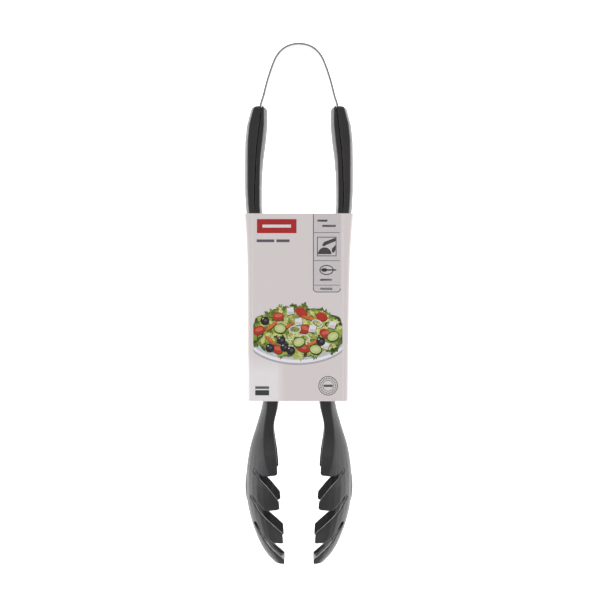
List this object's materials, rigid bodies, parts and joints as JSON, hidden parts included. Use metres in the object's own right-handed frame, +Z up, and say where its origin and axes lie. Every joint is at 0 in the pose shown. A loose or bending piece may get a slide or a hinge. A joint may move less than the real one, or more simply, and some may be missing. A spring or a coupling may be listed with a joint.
{
  "type": "spring loaded kitchen tongs",
  "caption": "Spring loaded kitchen tongs with slotted cupped nylon heads and a steel bow, lying on their side in a card sleeve.",
  "frame": {"origin": "centre of the footprint at the height of the table the tongs lie on", "axes": "+Y from the tips of the heads towards the spring bow, +X across the two arms towards the right arm, +Z up from the table; the tongs are tipped 2.4 degrees about X, because their heads are deeper than their grips"},
  "size_m": [0.0634, 0.3026, 0.0397],
  "materials": {
    "strip_steel": "rolled stainless spring strip, fine lengthwise grain",
    "sleeve_card": "coated pale grey folding card, printed on the front",
    "arm_nylon": "black heat resistant nylon, satin with a fine grain",
    "cover_nylon": "black heat resistant nylon, satin",
    "screw_steel": "bright zinc plated steel"
  },
  "bodies": {
    "spring": {"spring_strip": "strip_steel"},
    "left_arm_body": {"left_arm": "arm_nylon", "left_grip_cover": "cover_nylon", "left_tang_screw": "screw_steel"},
    "right_arm_body": {"right_arm": "arm_nylon", "right_grip_cover": "cover_nylon", "right_tang_screw": "screw_steel"},
    "sleeve": {"card_sleeve": "sleeve_card"}
  },
  "joints": [
    {"name": "left_squeeze", "type": "hinge", "parent": "spring", "child": "left_arm_body", "pos_m": [-0.0125, 0.14053, 0.00953], "axis": [0, 0.0412, 0.9991], "range_deg": [0, 1.55], "stiffness_Nm_per_rad": 2.3, "springref_deg": -1.15, "deforming": ["spring_strip"]},
    {"name": "right_squeeze", "type": "hinge", "parent": "spring", "child": "right_arm_body", "pos_m": [0.0125, 0.14053, 0.00953], "axis": [0, 0.0412, 0.9991], "range_deg": [-1.55, 0], "stiffness_Nm_per_rad": 2.3, "springref_deg": 1.15, "deforming": ["spring_strip"]},
    {"name": "sleeve_slide", "type": "slide", "parent": "spring", "child": "sleeve", "axis": [0, 0.9991, -0.0412], "range_m": [-0.02, 0]}
  ],
  "couplings": [
    {"joint": "right_squeeze", "follows": "left_squeeze", "ratio": -1}
  ]
}
